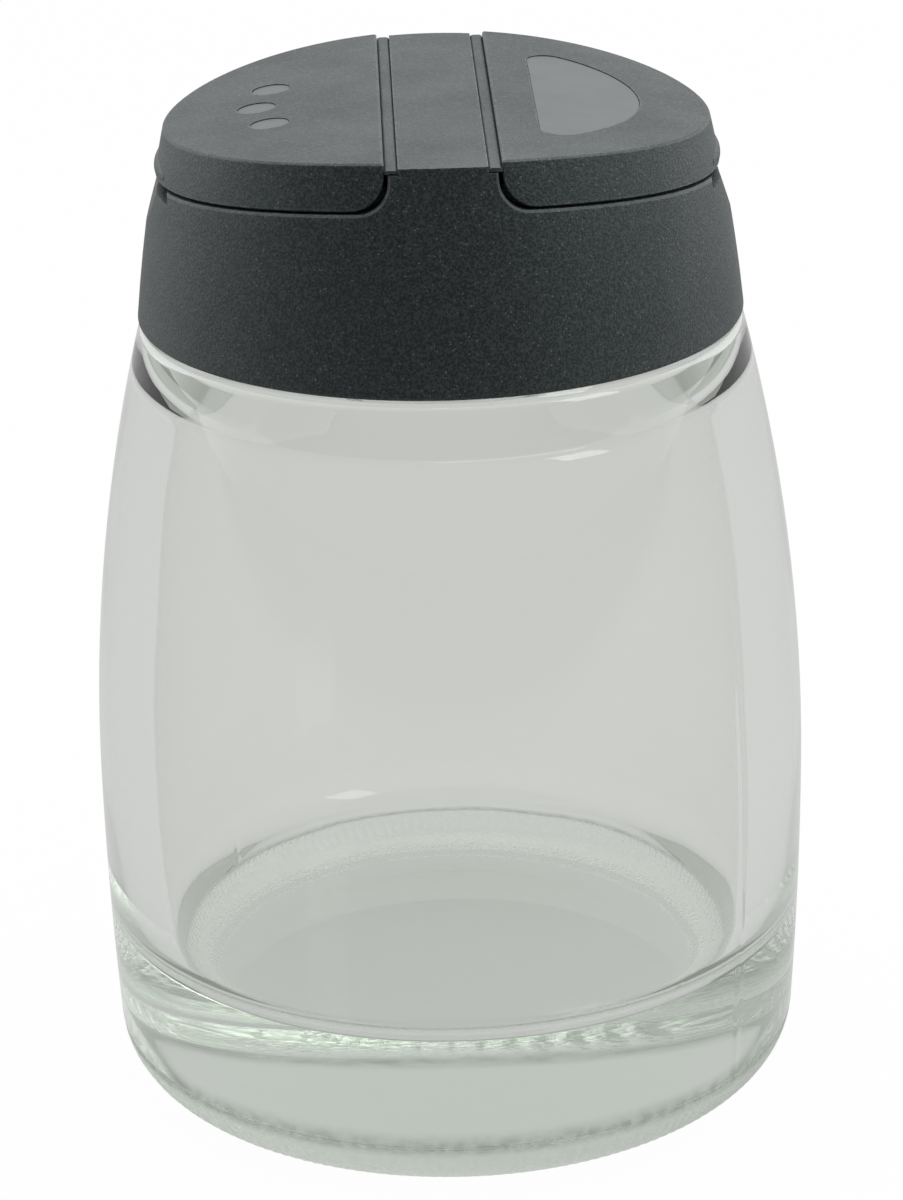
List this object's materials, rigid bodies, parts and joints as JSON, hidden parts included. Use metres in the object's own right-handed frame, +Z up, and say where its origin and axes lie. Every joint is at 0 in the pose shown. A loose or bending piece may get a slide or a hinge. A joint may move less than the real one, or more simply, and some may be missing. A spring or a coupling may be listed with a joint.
{
  "type": "spice shaker",
  "caption": "Thick round clear glass spice jar with a dark screw lid, whose hinged flaps cover sprinkle holes and a half-moon pour opening.",
  "frame": {"origin": "on the table, at the centre of the jar's foot", "axes": "+Z up along the jar's axis; the flaps hinge about Y, the sprinkle flap towards -X and the pour flap towards +X"},
  "size_m": [0.0702, 0.0702, 0.0999],
  "materials": {
    "glass": "clear polished soda-lime glass",
    "lid": "fine spark-eroded grain",
    "mark": "smooth light grey inlay",
    "seal": "soft white foam"
  },
  "bodies": {
    "jar": {"glass_jar": "glass"},
    "seal": {"sealing_ring": "seal"},
    "cap": {"cap_shell": "lid", "sprinkle_hinge_web": "lid", "pour_hinge_web": "lid"},
    "sprinkle_side": {"sprinkle_flap": "lid", "sprinkle_marks": "mark"},
    "pour_side": {"pour_flap": "lid", "pour_mark": "mark"}
  },
  "joints": [
    {"name": "cap_lift", "type": "slide", "parent": "jar", "child": "seal", "axis": [0, 0, 1], "range_m": [0, 0.0151]},
    {"name": "cap_turn", "type": "hinge", "parent": "seal", "child": "cap", "pos_m": [0, 0, 0.0789], "axis": [0, 0, 1], "range_deg": [0, 600]},
    {"name": "sprinkle_flap_hinge", "type": "hinge", "parent": "cap", "child": "sprinkle_side", "pos_m": [-0.0044, 0, 0.0992], "axis": [0, 1, 0], "range_deg": [0, 100], "deforming": ["sprinkle_hinge_web"]},
    {"name": "pour_flap_hinge", "type": "hinge", "parent": "cap", "child": "pour_side", "pos_m": [0.0044, 0, 0.0992], "axis": [0, -1, 0], "range_deg": [0, 100], "deforming": ["pour_hinge_web"]}
  ],
  "couplings": [
    {"joint": "cap_lift", "follows": "cap_turn", "m_per_rad": 0.0014324}
  ]
}
